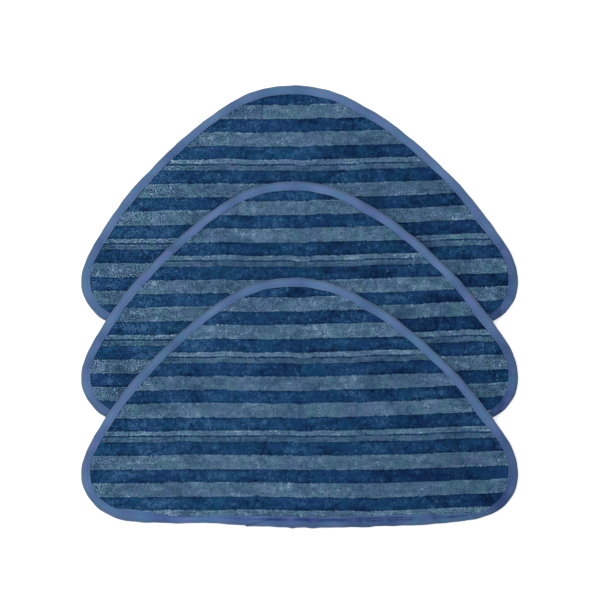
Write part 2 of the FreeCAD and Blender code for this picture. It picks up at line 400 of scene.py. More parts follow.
def patches(x, y, size, seed):
    """Soft patches between -1 and 1, about this size."""
    cells = 256
    values = np.random.default_rng(seed).uniform(-1, 1, (cells, cells))
    left, low = np.floor(x / size).astype(int), np.floor(y / size).astype(int)
    right_share, high_share = smooth(x / size - left), smooth(y / size - low)
    left, right, low, high = left % cells, (left + 1) % cells, low % cells, (low + 1) % cells
    lower = values[low, left] * (1 - right_share) + values[low, right] * right_share
    upper = values[high, left] * (1 - right_share) + values[high, right] * right_share
    return lower * (1 - high_share) + upper * high_share


def bump(distance, width):
    """1 at no distance, falling smoothly to 0."""
    return np.exp(-(distance / width) ** 2)


def swells(along, places):
    """A change near a few places along the edge, each with its distance along, width and size."""
    total = np.zeros(np.shape(along))
    for place, width, size in places:
        away = np.abs(np.mod(along - place + OUTLINE.length / 2, OUTLINE.length) - OUTLINE.length / 2)
        total += size * bump(away, width)
    return total


def face_leg(along):
    """How wide the tape lies on the face: it was sewn by eye."""
    return FACE_LEG + swells(along, LEG_SWELLS) + rings(along, *LEG_WAVE)


def stripe_height(x, y):
    """How far up the striped pattern a point lies, with the cloth's skew, waves and stretches."""
    beyond_crease = np.clip(x - PACKET_CREASE_X, 0, None)
    skew = SKEW_RISE * beyond_crease / (PAD_HALF_WIDTH - PACKET_CREASE_X)
    dip_place, dip_width, dip_depth = CREASE_DIP
    dip = dip_depth * bump(beyond_crease - dip_place, dip_width)
    wave = sum(height * patches(x, y * flatness, size, seed) for height, size, flatness, seed in STRIPE_WAVES)
    lift = sum(
        move * bump(x - at_x, width) * bump(y - at_y, depth) for at_x, at_y, width, depth, move in STRETCHES)
    return y - skew + dip + wave - lift


def stripes_at(x, y):
    """The name of the stripe at each point, and how far the point is from its lower and upper edges."""
    height = stripe_height(x, y)
    index = np.clip(np.searchsorted(STRIPE_TOPS, height), 0, len(STRIPE_NAMES) - 1)
    bottoms = np.append(0.0, STRIPE_TOPS[:-1])
    return np.array(STRIPE_NAMES)[index], height - bottoms[index], STRIPE_TOPS[index] - height


class Pad:
    """One pad of the fan: its place, how many pads it bends over, and a seed."""

    def __init__(self, name, bends, seed):
        self.name = name
        self.body = name + "_pad"
        self.bends = bends
        self.seed = seed
        low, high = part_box(name + "_binding")
        self.front = low[1] / MM + LAP_PROUD

    def bend(self, back, height):
        """Heights above the floor, once the pad is bent over the pads below."""
        raised = height
        for bend in range(1, self.bends + 1):
            lift = height + (bend - 1) * LAYER_STEP
            head = bend * PITCH - BEND_CLEARANCE
            foot = head - BEND_LENGTH
            joint = foot + BEND_LENGTH * (BEND_RADIUS - lift) / (2 * BEND_RADIUS)
            run = np.clip(back, foot, head)
            rising = BEND_RADIUS - np.sqrt((BEND_RADIUS - lift) ** 2 - (np.minimum(run, joint) - foot) ** 2)
            falling = LAYER_STEP - BEND_RADIUS + np.sqrt((BEND_RADIUS + lift) ** 2 - (run - head) ** 2)
            bent = np.where(run < joint, rising, falling)
            raised = np.where(back < foot, raised, bent)
        return raised

    def covered(self, x, y):
        """Whether the next pad of the fan lies on this point."""
        return (self.bends < TOP_PAD_BENDS) & (OUTLINE.inset(x, y + PITCH) > -COVER_MARGIN)


def shade(red, green, blue):
    """A colour, 0 to 255 in each channel, as the renderer's linear values."""
    shares = [value / 255 for value in (red, green, blue)]
    return tuple(share / 12.92 if share <= 0.04045 else ((share + 0.055) / 1.055) ** 2.4 for share in shares)


def grey(value):
    return (value,) * 3


class Paint:
    """A material's node tree, with short ways to add and join nodes."""

    def __init__(self, name):
        self.material = bpy.data.materials.new(name)
        self.material.use_nodes = True
        self.tree = self.material.node_tree
        self.shader = self.tree.nodes["Principled BSDF"]

    def feed(self, socket, value):
        """Joins a node's output to a socket, or sets it to a plain number or colour."""
        if isinstance(value, bpy.types.NodeSocket):
            self.tree.links.new(value, socket)
        elif socket.type == "RGBA":
            socket.default_value = (*value, 1.0)
        else:
            socket.default_value = value

    def node(self, kind, inputs, **settings):
        node = self.tree.nodes.new("ShaderNode" + kind)
        for name, value in settings.items():
            setattr(node, name, value)
        for name, value in inputs.items():
            self.feed(node.inputs[name], value)
        return node

    def finish(self, **inputs):
        """Sets the shader's sockets, with _ for a space in their names."""
        for name, value in inputs.items():
            self.feed(self.shader.inputs[name.replace("_", " ")], value)
        return self.material

    def attribute(self, name):
        return self.node("Attribute", {}, attribute_name=name).outputs["Fac"]

    def tape_map(self):
        """The point on the tape laid flat, in metres: along it and across it."""
        return self.node("UVMap", {}, uv_map="Tape").outputs["UV"]

    def place(self, scale=(1, 1, 1), turn=0.0):
        """The point on the object, in metres, stretched and turned about Z."""
        return self.mapped(self.node("TexCoord", {}).outputs["Object"], scale, turn)

    def mapped(self, point, scale, turn):
        return self.node("Mapping", {"Vector": point, "Scale": scale, "Rotation": (0, 0, turn)}).outputs[0]

    def noise(self, size, place=None, detail=2.0):
        """Noise from 0 to 1, with features of this size in metres."""
        inputs = {"Vector": place or self.place(), "Scale": 1 / size, "Detail": detail}
        return self.node("TexNoise", inputs).outputs["Fac"]

    def cells(self, density):
        """How far each point is from its cell's centre, with about this many cells to the metre."""
        return self.node("TexVoronoi", {"Vector": self.place(), "Scale": density}).outputs["Distance"]

    def math(self, operation, first, second):
        return self.node("Math", {0: first, 1: second}, operation=operation).outputs[0]

    def ramp(self, factor, *stops):
        """A colour ramp through these positions and colours."""
        node = self.node("ValToRGB", {"Fac": factor})
        elements = node.color_ramp.elements
        while len(elements) < len(stops):
            elements.new(1.0)
        for element, (position, colour) in zip(elements, stops):
            element.position = position
            element.color = (*colour, 1.0)
        return node.outputs["Color"]

    def between(self, factor, low, high):
        """A number that follows a factor from low to high."""
        return self.node("MapRange", {"Value": factor, "To Min": low, "To Max": high}).outputs["Result"]

    def mix(self, factor, first, second, blend="MIX"):
        node = self.node("Mix", {}, data_type="RGBA", blend_type=blend)
        colours = [socket for socket in node.inputs if socket.type == "RGBA"]
        self.feed(node.inputs["Factor"], factor)
        self.feed(colours[0], first)
        self.feed(colours[1], second)
        return next(socket for socket in node.outputs if socket.type == "RGBA")

    def dapple(self, colour, strength, factor, first, second):
        """The colour, times a grey that follows a factor between two stops."""
        greys = [(position, grey(value)) for position, value in (first, second)]
        return self.mix(strength, colour, self.ramp(factor, *greys), "MULTIPLY")

    def tint(self, colour, cool, warm, size, strength):
        """The colour, shifted in soft patches towards a cool tint and a warm one."""
        stops = (0.5, grey(0)), (0.72, grey(strength))
        cool_share = self.ramp(self.noise(size), *stops)
        elsewhere = self.node("VectorMath", {0: self.place(), 1: (0.3, 0.7, 0.1)}, operation="ADD").outputs[0]
        warm_share = self.ramp(self.noise(size, elsewhere), *stops)
        return self.mix(warm_share, self.mix(cool_share, colour, cool), warm)

    def relief(self, height, strength, depth):
        inputs = {"Height": height, "Strength": strength, "Distance": depth}
        return self.node("Bump", inputs).outputs["Normal"]


def finish_pile(paint, colour, strength, dark, bright, sheen, specular):
    """Adds a loop's fine fibres, between a dark grey and a bright one, to its colour."""
    fibre = 0.0003
    fibres = paint.noise(fibre, detail=3.0)
    return paint.finish(
        Base_Color=paint.dapple(colour, strength, fibres, (0.3, dark), (0.7, bright)),
        Roughness=paint.between(fibres, 0.72, 0.95), Normal=paint.relief(fibres, 0.5, fibre),
        Sheen_Weight=sheen, Specular_IOR_Level=specular)


def light_pile_paint():
    """Grey-blue loops with a few bright ends."""
    paint = Paint("striped_microfibre_light")
    colour = paint.ramp(
        paint.attribute("tone"),
        (0.0, shade(34, 70, 105)), (0.3, shade(65, 106, 142)), (0.6, shade(98, 139, 173)),
        (0.85, shade(132, 170, 200)), (1.0, shade(172, 200, 222)),
    )
    colour = paint.tint(colour, shade(94, 152, 166), shade(118, 142, 188), 0.013, 0.6)
    return finish_pile(paint, colour, strength=0.4, dark=0.62, bright=1.3, sheen=0.04, specular=0.12)


def dark_pile_paint():
    """Navy loops with patches nearer teal."""
    paint = Paint("striped_microfibre_dark")
    colour = paint.ramp(
        paint.attribute("tone"),
        (0.0, shade(0, 33, 77)), (0.45, shade(27, 75, 121)), (0.8, shade(50, 100, 147)),
        (1.0, shade(74, 121, 166)),
    )
    colour = paint.tint(colour, shade(18, 92, 132), shade(32, 70, 134), 0.016, 0.5)
    return finish_pile(paint, colour, strength=0.5, dark=0.65, bright=1.25, sheen=0.02, specular=0.06)


def ground_paint():
    """The knitted ground under the loops, in the stripes' colours, painted darker than the loops for the
    shade beneath them.
    """
    paint = Paint("striped_microfibre_ground")
    # Painted shade: the ground's colours are darker than the loops', for the shade under the pile.
    colour = paint.ramp(paint.attribute("tone"), (0.0, shade(14, 56, 100)), (1.0, shade(80, 118, 152)))
    knit = paint.cells(900.0)
    return paint.finish(
        Base_Color=paint.dapple(colour, 0.6, knit, (0.0, 1.2), (0.7, 0.6)),
        Roughness=paint.between(knit, 0.8, 0.95), Normal=paint.relief(knit, 0.6, -0.0003),
        Sheen_Weight=0.04, Specular_IOR_Level=0.12)


def tape_paint():
    """Woven tape: a fine twill, a little uneven in colour, with painted shade where its fold turns away and
    painted light on the face leg.
    """
    paint = Paint("edge_tape")
    tape = paint.tape_map()
    turned = paint.mapped(tape, (1, 1, 1), math.radians(38))
    twill = paint.node("TexWave", {
        "Vector": turned, "Scale": 600.0, "Distortion": 0.6, "Detail": 1.0, "Detail Scale": 2.0,
    }).outputs["Fac"]
    colour = paint.ramp(
        paint.attribute("tone"),
        (0.0, shade(24, 52, 106)), (0.5, shade(74, 105, 145)), (1.0, shade(104, 134, 174)),
    )
    colour = paint.tint(colour, shade(62, 112, 146), shade(88, 102, 157), 0.012, 0.62)
    bluer = paint.mix(1.0, colour, (0.96, 0.97, 1.1), "MULTIPLY")
    colour = paint.mix(paint.attribute("blue"), colour, bluer)
    across = paint.math("DIVIDE", paint.node("SeparateXYZ", {"Vector": tape}).outputs["Y"], TAPE_WIDTH * MM)
    # Painted shade on the fold's outer rim, where it turns away from the light, and painted light on the face
    # leg inside it.
    painted_fold_shade_and_light = paint.ramp(
        across,
        (0.66, (0.96, 0.88, 0.84)), (0.74, (0.97, 0.92, 0.88)), (0.81, (1.03, 1.03, 1.06)),
        (0.93, (1.03, 1.03, 1.08)), (1.0, grey(1.0)),
    )
    colour = paint.mix(1.0, colour, painted_fold_shade_and_light, "MULTIPLY")
    colour = paint.dapple(colour, 0.5, twill, (0.1, 0.8), (0.9, 1.15))
    fibres = paint.noise(0.0004, detail=3.0)
    height = paint.math("ADD", twill, paint.math("MULTIPLY", fibres, 0.6))
    return paint.finish(
        Base_Color=paint.dapple(colour, 0.4, fibres, (0.3, 0.8), (0.7, 1.2)),
        Roughness=paint.between(fibres, 0.55, 0.8), Normal=paint.relief(height, 0.35, 0.00015),
        Sheen_Weight=0.1, Sheen_Roughness=0.4, Specular_IOR_Level=0.25)


def thread_paint():
    """Sewing thread, twisted from two plies."""
    paint = Paint("thread")
    inputs = {"Vector": paint.tape_map(), "Scale": 500.0, "Distortion": 0.3}
    ply = paint.node("TexWave", inputs, bands_direction="DIAGONAL").outputs["Fac"]
    colour = paint.ramp(ply, (0.1, shade(48, 74, 122)), (0.9, shade(92, 122, 170)))
    return paint.finish(
        Base_Color=paint.dapple(colour, 0.4, paint.noise(0.004), (0.3, 0.75), (0.7, 1.2)),
        Roughness=paint.between(ply, 0.65, 0.45), Normal=paint.relief(ply, 0.6, 0.0001), Sheen_Weight=0.2)


def backing_paint():
    """Brushed knit on the back, looped for the mop head's hooks."""
    paint = Paint("loop_backing")
    loops = paint.cells(750.0)
    colour = paint.ramp(loops, (0.0, shade(104, 132, 164)), (0.6, shade(52, 76, 112)))
    return paint.finish(
        Base_Color=paint.dapple(colour, 0.5, paint.noise(0.008), (0.35, 0.8), (0.65, 1.2)),
        Roughness=paint.between(loops, 0.75, 0.95), Normal=paint.relief(loops, 0.7, -0.0004),
        Sheen_Weight=0.3)


def wadding_paint():
    """White bonded fibres, lying every way."""
    paint = Paint("wadding")
    fibres = paint.noise(0.002, paint.place((1, 0.15, 1), 0.5), 4.0)
    crossing = paint.noise(0.002, paint.place((0.15, 1, 1), 0.2), 4.0)
    lie = paint.math("MAXIMUM", fibres, crossing)
    return paint.finish(
        Base_Color=paint.ramp(lie, (0.4, shade(190, 192, 190)), (0.7, shade(240, 240, 236))),
        Roughness=paint.between(lie, 0.8, 1.0), Normal=paint.relief(lie, 0.6, 0.0006), Sheen_Weight=0.2)


def floor_paint():
    """A white lit table, which keeps only the faintest shadow."""
    paint = Paint("white_table")
    grain = paint.ramp(paint.noise(0.004), (0.3, grey(0.84)), (0.7, grey(0.88)))
    return paint.finish(
        Base_Color=grain, Roughness=0.9, Specular_IOR_Level=0.1, Emission_Color=grey(1.0),
        Emission_Strength=FLOOR_GLOW)


def make_mesh(name, points, faces, values=None, corners=None):
    """A smooth mesh object from points in metres and arrays of faces, one for each number of corners.

    values has numbers for each point, by attribute name. corners is the Tape map, in the order of the faces.
    """
    mesh = bpy.data.meshes.new(name)
    corner_points = np.hstack([group.ravel() for group in faces])
    sizes = np.hstack([np.full(len(group), group.shape[1]) for group in faces])
    mesh.vertices.add(len(points))
    mesh.vertices.foreach_set("co", np.ascontiguousarray(points, np.float32).ravel())
    mesh.loops.add(len(corner_points))
    mesh.loops.foreach_set("vertex_index", corner_points.astype(np.int32))
    mesh.polygons.add(len(sizes))
    mesh.polygons.foreach_set("loop_start", (np.cumsum(sizes) - sizes).astype(np.int32))
    mesh.update(calc_edges=True)
    mesh.polygons.foreach_set("use_smooth", np.ones(len(sizes), bool))
    for attribute, numbers in (values or {}).items():
        mesh.attributes.new(attribute, "FLOAT", "POINT").data.foreach_set("value", numbers.astype(np.float32))
    if corners is not None:
        mesh.uv_layers.new(name="Tape").uv.foreach_set("vector", corners.astype(np.float32).ravel())
    mesh.validate()
    piece = bpy.data.objects.new(name, mesh)
    bpy.context.scene.collection.objects.link(piece)
    return piece


def faces_outward(points, faces):
    """The faces, turned over if they face inwards."""
    volume = 0.0
    for group in faces:
        for corner in range(1, group.shape[1] - 1):
            first, second, third = points[group[:, 0]], points[group[:, corner]], points[group[:, corner + 1]]
            volume += np.einsum("ij,ij->", first, np.cross(second, third))
    return faces if volume > 0 else [group[:, ::-1] for group in faces]


def tube(rings, around, closed=False):
    """The quads between rings of points, and each one's ring, its place in the ring and the next place."""
    bands = rings if closed else rings - 1
    ring, place = np.meshgrid(np.arange(bands), np.arange(around), indexing="ij")
    beyond, past = (ring + 1) % rings, (place + 1) % around
    corners = [ring * around + place, beyond * around + place, beyond * around + past, ring * around + past]
    return np.stack(corners, axis=-1).reshape(-1, 4), ring, place, past


def tube_map(start, end, low, high):
    """The Tape map of quads from start to end along the tape and from low to high across it."""
    corners = [(start, low), (end, low), (end, high), (start, high)]
    return np.stack([np.stack(corner, axis=-1) for corner in corners], axis=2).reshape(-1, 2) * MM


def add_piece(pad, name, slot, material, points, faces, values=None, corners=None):
    """Bends a pad's flat points into place, and makes the piece that rides on its body."""
    x, y, height = points.reshape(-1, 3).T
    placed = np.column_stack([x, y + pad.front, pad.bend(y, height)]) * MM
    faces = faces_outward(placed, faces)
    piece = make_mesh(pad.name + "_" + name, placed, faces, values, corners)
    piece.data.materials.append(material)
    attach(piece, pad.body)
    return piece


def lattice(inset, spacing):
    """The points of a triangular grid that are further in than the inset."""
    x = np.arange(-PAD_HALF_WIDTH, PAD_HALF_WIDTH, spacing)
    y = np.arange(0, PAD_DEPTH, spacing * math.sqrt(3) / 2)
    x, y = np.meshgrid(x, y)
    x[1::2] += spacing / 2
    inside = OUTLINE.inset(x, y) > inset
    return x[inside], y[inside]


class Plan:
    """A flat triangulation of the pad's plan, set in from its edge. The points of its rim come first."""

    def __init__(self, inset, spacing):
        self.rim = round(OUTLINE.length / spacing)
        rim = OUTLINE.place(np.arange(self.rim) * OUTLINE.length / self.rim, inset)
        rim_gap = 0.6 * spacing
        self.x, self.y = np.hstack([rim, lattice(inset + rim_gap, spacing)])
        edges = [(index, (index + 1) % self.rim) for index in range(self.rim)]
        inside_only, nearness = 1, 1e-6
        result = delaunay_2d_cdt(
            [Vector(point) for point in zip(self.x, self.y)], edges, [], inside_only, nearness)
        self.triangles = np.array(result[2])
        self.inset = OUTLINE.inset(self.x, self.y)

    def slab(self, low, high):
        """The points and faces of a closed sheet between two heights, each given at the plan's points."""
        count = len(self.x)
        points = np.vstack([
            np.column_stack([self.x, self.y, np.broadcast_to(level, count)]) for level in (high, low)])
        here = np.arange(self.rim)
        beyond = (here + 1) % self.rim
        walls = np.column_stack([here + count, beyond + count, beyond, here])
        return points, [np.vstack([self.triangles, self.triangles[:, ::-1] + count]), walls]


def squeezed(plan, height):
    """Heights inside the pad, moved towards the middle where the tape's fold leaves less room."""
    reach = np.clip((FOLD_START - plan.inset) / FOLD_REACH, 0, 1)
    room = TAPE_HALF_RISE * np.sqrt(1 - reach ** 2) - TAPE / 2 - FOLD_GAP
    return np.where(plan.inset < UNDER_TAPE, np.clip(height, TAPE_MIDDLE - room, TAPE_MIDDLE + room), height)


def face_cloth(pad, plan, paint):
    """The knitted ground of the face cloth, pressed down under the tape and at the packet's crease."""
    stripes = stripes_at(plan.x, plan.y)[0]
    grain = sum(
        patches(plan.x, plan.y, size, pad.seed + number) * GRAIN for number, size in enumerate(GRAIN_SIZES))
    high = GROUND_TOP + grain - GROUND_PRESS * bump(plan.x - PACKET_CREASE_X, PACKET_CREASE_WIDTH)
    high = squeezed(plan, np.where(plan.inset < UNDER_TAPE, GROUND_UNDER_TAPE, high))
    tone = np.select([stripes == name for name in GROUND_TONES], list(GROUND_TONES.values()), 0.0)
    return add_piece(pad, "face_cloth_ground", "striped_microfibre", paint, *plan.slab(GROUND_BOTTOM, high),
                     {"tone": np.tile(tone, 2)})


def core(pad, plan, paint):
    """The wadding, thinner where the seam pinches it."""
    pinch = bump(plan.inset - CLOTH_INSET, PINCH_WIDTH)
    lumps_above, lumps_below = (
        WADDING_LUMP * patches(plan.x, plan.y, WADDING_LUMP_SIZE, pad.seed + number) for number in (2, 3))
    high = CORE_TOP - WADDING_GAP - PINCH_ABOVE * pinch + lumps_above
    low = BACKING_TOP + WADDING_GAP + PINCH_BELOW * pinch + lumps_below
    return add_piece(pad, "wadding", "wadding", paint, *plan.slab(low, high))


def backing(pad, plan, paint):
    """The looped backing, level with the tape and raised over the tape's leg."""
    loops = BACKING_LOW + BACKING_GRAIN * patches(plan.x, plan.y, BACKING_GRAIN_SIZE, pad.seed + 4)
    low = squeezed(plan, np.where(plan.inset < BACK_LEG + BACKING_CLEARANCE, BACKING_OVER_TAPE, loops))
    return add_piece(pad, "loop_backing", "loop_backing", paint, *plan.slab(low, BACKING_TOP))


# A loop of the pile, in shares of its length, width and height: an end, three rings of three points, an end.
LOOP_SHAPE = np.array([
    (-0.5, 0.0, 0.1),
    (-0.28, 0.0, 0.8), (-0.28, 0.45, 0.25), (-0.28, -0.45, 0.25),
    (0.0, 0.0, 1.0), (0.0, 0.5, 0.35), (0.0, -0.5, 0.35),
    (0.28, 0.0, 0.8), (0.28, 0.45, 0.25), (0.28, -0.45, 0.25),
    (0.5, 0.0, 0.1),
])


def loop_faces():
    """The triangles at a loop's two ends and the quads between its three rings."""
    sides = ((0, 1), (1, 2), (2, 0))
    first_ring, last_ring, last = 1, 7, 10
    ends = [(0, first_ring + side, first_ring + past) for side, past in sides]
    ends += [(last_ring + side, last, last_ring + past) for side, past in sides]
    return np.array(ends), first_ring + tube(3, 3)[0]


def repeat_faces(faces, points_each, count):
    """The same faces for each of many copies of a shape."""
    shifts = np.arange(count) * points_each
    return (faces[None] + shifts[:, None, None]).reshape(-1, faces.shape[1])


def loop_places(pad, rng, stripes):
    """Where the loops of these stripes stand, each one's stripe, and how far from its edge it is."""
    x, y = lattice(UNDER_TAPE, LOOP_SPACING)
    drifts = [CLUMP_DRIFT * patches(x, y, CLUMP_SIZE, pad.seed + number) for number in (7, 8)]
    x, y = (flat + drift + rng.normal(0, LOOP_JITTER, len(x)) for flat, drift in zip((x, y), drifts))
    kinds, above, below = stripes_at(x, y)
    along, inset = OUTLINE.nearest(x, y)
    kept = np.isin(kinds, list(stripes)) & (inset > face_leg(along) + TAPE_CLEARANCE)
    x, y, kinds, above, below = x[kept], y[kept], kinds[kept], above[kept], below[kept]
    y = y + np.clip(EDGE_MARGIN - above, 0, EDGE_MARGIN) - np.clip(EDGE_MARGIN - below, 0, EDGE_MARGIN)
    return x, y, kinds, np.minimum(above, below)


def loop_turns(rng, at_edge):
    """Which way each loop lies."""
    count = len(at_edge)
    lean = rng.normal(0, LEAN_SPREAD, count) + math.pi / 2 * rng.integers(0, 2, count)
    lean = np.where(rng.random(count) < ANY_LEAN_SHARE, rng.uniform(0, math.pi, count), lean)
    return np.where(at_edge, rng.normal(0, EDGE_LEAN_SPREAD, count), lean)


def loop_tones(pad, rng, x, y, from_edge, tone, look):
    """Each loop's tone, from its stripe's tone and the look."""
    count = len(x)
    tone = tone + rng.normal(0, look["loop"], count)
    tone += look["clump"] * patches(x, y, CLUMP_SIZE, pad.seed + 6)
    tone += look["patch"] * patches(x, y * PATCH_FLATNESS, PATCH_SIZE, pad.seed + 9)
    tone += look["streak"] * patches(x / STREAK_STRETCH, y, STREAK_SIZE, pad.seed + 10)
    # Painted shade: darker at a stripe's edge, for the taller loops' shadow, and to the right, for the light
    # falling off.
    tone -= look["edge"] * bump(from_edge, EDGE_SHADE_WIDTH) + look["right"] * x / PAD_HALF_WIDTH
    return tone + np.where(rng.random(count) < look["flecks"], look["fleck"], 0)


def pile(pad, name, stripes, look, paint):
    """The curled loops of the stripes named, each with its own size, turn and tone."""
    rng = np.random.default_rng(pad.seed + len(name))
    x, y, kinds, from_edge = loop_places(pad, rng, stripes)
    count = len(x)
    at_edge = from_edge < EDGE_BAND
    turn = loop_turns(rng, at_edge)

    in_kind = [kinds == kind for kind in stripes]
    tops, tones = zip(*stripes.values())
    top = np.select(in_kind, tops) + rng.normal(0, TOP_SPREAD, count)
    top += TOP_WAVE * patches(x, y, TOP_WAVE_SIZE, pad.seed + 5)
    top -= LOOP_PRESS * bump(x - PACKET_CREASE_X, PACKET_CREASE_WIDTH)
    top = np.where(pad.covered(x, y), np.minimum(top, COVERED_TOP), top)
    tone = loop_tones(pad, rng, x, y, from_edge, np.select(in_kind, tones), look)

    length = rng.normal(*LOOP_LENGTH, count)
    width = rng.normal(*LOOP_WIDTH, count)
    curl = np.where(at_edge, 0, rng.normal(0, LOOP_CURL, count))
    reach, side, rise = LOOP_SHAPE.T[:, :, None]
    along = reach * length
    aside = side * width + curl * (reach ** 2 - CURL_CENTRE)
    loops = np.stack([
        x + along * np.cos(turn) - aside * np.sin(turn),
        y + along * np.sin(turn) + aside * np.cos(turn),
        LOOP_ROOT + rise * (top - LOOP_ROOT),
    ], axis=-1).swapaxes(0, 1)
    each = len(LOOP_SHAPE)
    faces = [repeat_faces(group, each, count) for group in loop_faces()]
    shown_tone = np.repeat(np.clip(tone, 0, 1), each)
    return add_piece(pad, name, "striped_microfibre", paint, loops, faces, {"tone": shown_tone})


def tape_line(face_end=FACE_LEG):
    """Insets, heights and lengths along the folded tape's middle line, from its edge on the back."""
    back_points, turn_points, face_points = 6, 17, 8
    back = np.linspace(BACK_LEG, FOLD_START, back_points)[:-1]
    face = np.linspace(FOLD_START, face_end, face_points)[1:]
    turn = np.linspace(-math.pi / 2, math.pi / 2, turn_points)
    fold_inset = FOLD_START - FOLD_REACH * np.cos(turn)
    fold_height = TAPE_MIDDLE + TAPE_HALF_RISE * np.sin(turn)
    inset = np.hstack([back, fold_inset, face])
    height = np.hstack([np.full(len(back), TAPE_LOW), fold_height, np.full(len(face), TAPE_HIGH)])
    steps = np.hypot(np.diff(inset), np.diff(height))
    return inset, height, np.append(0, np.cumsum(steps))


TAPE_WIDTH = tape_line()[2][-1]


def roll(along):
    """How far the tape has rolled outwards, 0 to 1: from its lap to just past the right corner."""
    rising = np.clip((along - OUTLINE.front_middle - CUT_END + ROLL_LEAD) / ROLL_GROWTH, 0, 1)
    falling = np.clip((OUTLINE.right_corner_end + ROLL_PAST_CORNER - along) / ROLL_FADE, 0, 1)
    return rising * smooth(falling)


def crease(along):
    """How far in the tape's crease lies, and how sharp it is."""
    places, insets, depths = zip(*TAPE_CREASES)
    place = along - OUTLINE.front_middle
    return np.interp(place, places, insets), np.interp(place, places, depths)


def both_sides(values):
    """Values at the points of the tape's line, for the ring of points round its two sides."""
    return np.hstack([values, values[:, ::-1]])


class Tape:
    """A strip of tape folded round the pad's edge: a ring or, when it is lifted, a length with two ends.

    along has each station's place along the edge, or a place for each point of its line. lift is from the
    middle of the tape under it to the strip's underside.
    """

    def __init__(self, along, face_end=FACE_LEG, lift=0.0, lumps=()):
        self.inset, self.height, self.across = tape_line(face_end)
        self.stations, self.line = len(along), len(self.inset)
        self.along = np.broadcast_to(along, (self.stations, self.line))
        self.lift = lift
        self.lumps = lumps
        self.closed = lift == 0
        self.on_face = 1 / (1 + np.exp(-(self.height - FACE_SIDE) * FACE_SIDE_STEEPNESS))
        self.rolled = roll(self.along)
        self.stitches = np.cos(TURN * self.along / STITCH_PITCH)
        self.groove = bump(self.inset - SEAM_INSET, GROOVE_WIDTH)
        self.crease_inset, sharpness = crease(self.along)
        self.creased = sharpness * self.on_face * bump(self.inset - self.crease_inset, TAPE_CREASE_WIDTH)

    def middle(self):
        """The insets and heights of the strip's middle line at each station."""
        on_legs = np.clip((self.inset - FOLD_START) / (FACE_LEG - FOLD_START), 0, 1)
        edge_shift = swells(self.along, EDGE_SHIFTS) + rings(self.along, *EDGE_WAVE)
        edge_shift += swells(self.along - OUTLINE.front_middle, self.lumps)
        wider = np.where(self.inset > FOLD_START, face_leg(self.along) - FACE_LEG, 0) * self.on_face
        depth = self.inset + on_legs * wider + (1 - on_legs) * edge_shift

        inward = np.where(self.height < TAPE_MIDDLE, 1.0, -1.0)
        puffs = sum(share * bump(self.inset - SEAM_INSET - away, width) for away, width, share in PUFFS)
        outer = np.clip(1 - self.inset / FACE_LEG, 0, 1)
        raised = self.height + inward * self.groove * (GROOVE_DEPTH + GROOVE_STITCH_DEPTH * self.stitches)
        raised -= inward * puffs * PUFF_RISE * (self.stitches - 1) * self.on_face
        raised -= ROLL_DROP * self.rolled * self.on_face * outer
        return depth, raised - TAPE_CREASE_DEPTH * self.creased

    def points(self):
        """The points of the strip, station by station, in a ring round its two sides."""
        depth, raised = self.middle()
        run, rise = np.gradient(depth, axis=1), np.gradient(raised, axis=1)
        size = np.hypot(run, rise)
        out_inset, out_height = -rise / size, run / size
        thickness = np.full(self.line, TAPE)
        for index, share in enumerate(EDGE_THINNING):
            thickness[[index, -1 - index]] *= share
        half = thickness / 2
        if not self.closed:
            half = half * np.clip((self.along[-1] - self.along) / LAP_TAPER, LAP_THINNEST, 1)
        lifted = np.where(self.lift > 0, self.lift + half, 0) * np.clip(self.height - LIFT_START, 0, 1)
        sheets = []
        for side in (1, -1):
            off = side * half + lifted
            x, y = OUTLINE.place(self.along, depth + off * out_inset)
            sheets.append(np.stack([x, y, raised + off * out_height], axis=-1))
        return np.hstack([sheets[0], sheets[1][:, ::-1]]).reshape(-1, 3)

    def faces_and_map(self):
        """The strip's faces and its Tape map."""
        around = 2 * self.line
        quads, station, place, past = tube(self.stations, around, self.closed)
        faces = [quads]
        across = np.append(self.across, self.across[::-1])
        run = both_sides(self.along)[station, place]
        step = self.along[1, 0] - self.along[0, 0]
        corners = tube_map(run, run + step, across[place], across[past])
        if not self.closed:
            ring = np.arange(self.line - 1)
            near = np.column_stack([ring, ring + 1, around - 2 - ring, around - 1 - ring])
            far = near[:, ::-1] + (self.stations - 1) * around
            faces.append(np.vstack([near, far]))
            corners = np.vstack([corners, np.zeros((near.size + far.size, 2))])
        return faces, corners

    def looks(self):
        """The tape's tone, with its painted shade, and how far it is in the bluer stretch, at each point."""
        along = self.along
        x = OUTLINE.place(along, self.inset)[0]
        tone = TAPE_TONE + rings(along, *TONE_WAVE) + RIGHT_LIGHT * np.clip(x / RIGHT_LIGHT_X, -1, 1)
        # Painted shade: darker in the groove, where the tape has rolled away from the light, in the crease,
        # between tape and pile past the cut end, and at the lap's edge.
        tone -= GROOVE_SHADE * self.groove * (1 - GROOVE_STITCH_SHARE * (1 - self.stitches))
        tone -= ROLLED_SHADE * self.rolled * (self.inset < self.crease_inset + ROLLED_PAST_CREASE)
        tone -= CREASE_SHADE * self.creased
        past_cut = np.clip(along - OUTLINE.front_middle - CUT_END, 0, 1)
        past_cut *= np.clip(OUTLINE.front_end - along, 0, 1)
        tone -= INNER_SHADE * self.on_face * past_cut * (self.inset > self.crease_inset)
        if not self.closed:
            tone -= LAP_EDGE_SHADE * self.on_face * bump(along - along[0], LAP_EDGE_WIDTH)
        start, end = OUTLINE.front_start, OUTLINE.front_middle + BLUE_PAST_MIDDLE
        start_softness, end_softness = BLUE_ENDS
        blue = np.clip((along - start) / start_softness, 0, 1) * np.clip((end - along) / end_softness, 0, 1)
        return {"tone": both_sides(np.clip(tone, 0, 1)).ravel(), "blue": both_sides(blue).ravel()}

    def add(self, pad, name, paint):
        faces, corners = self.faces_and_map()
        return add_piece(pad, name, "edge_tape", paint, self.points(), faces, self.looks(), corners)


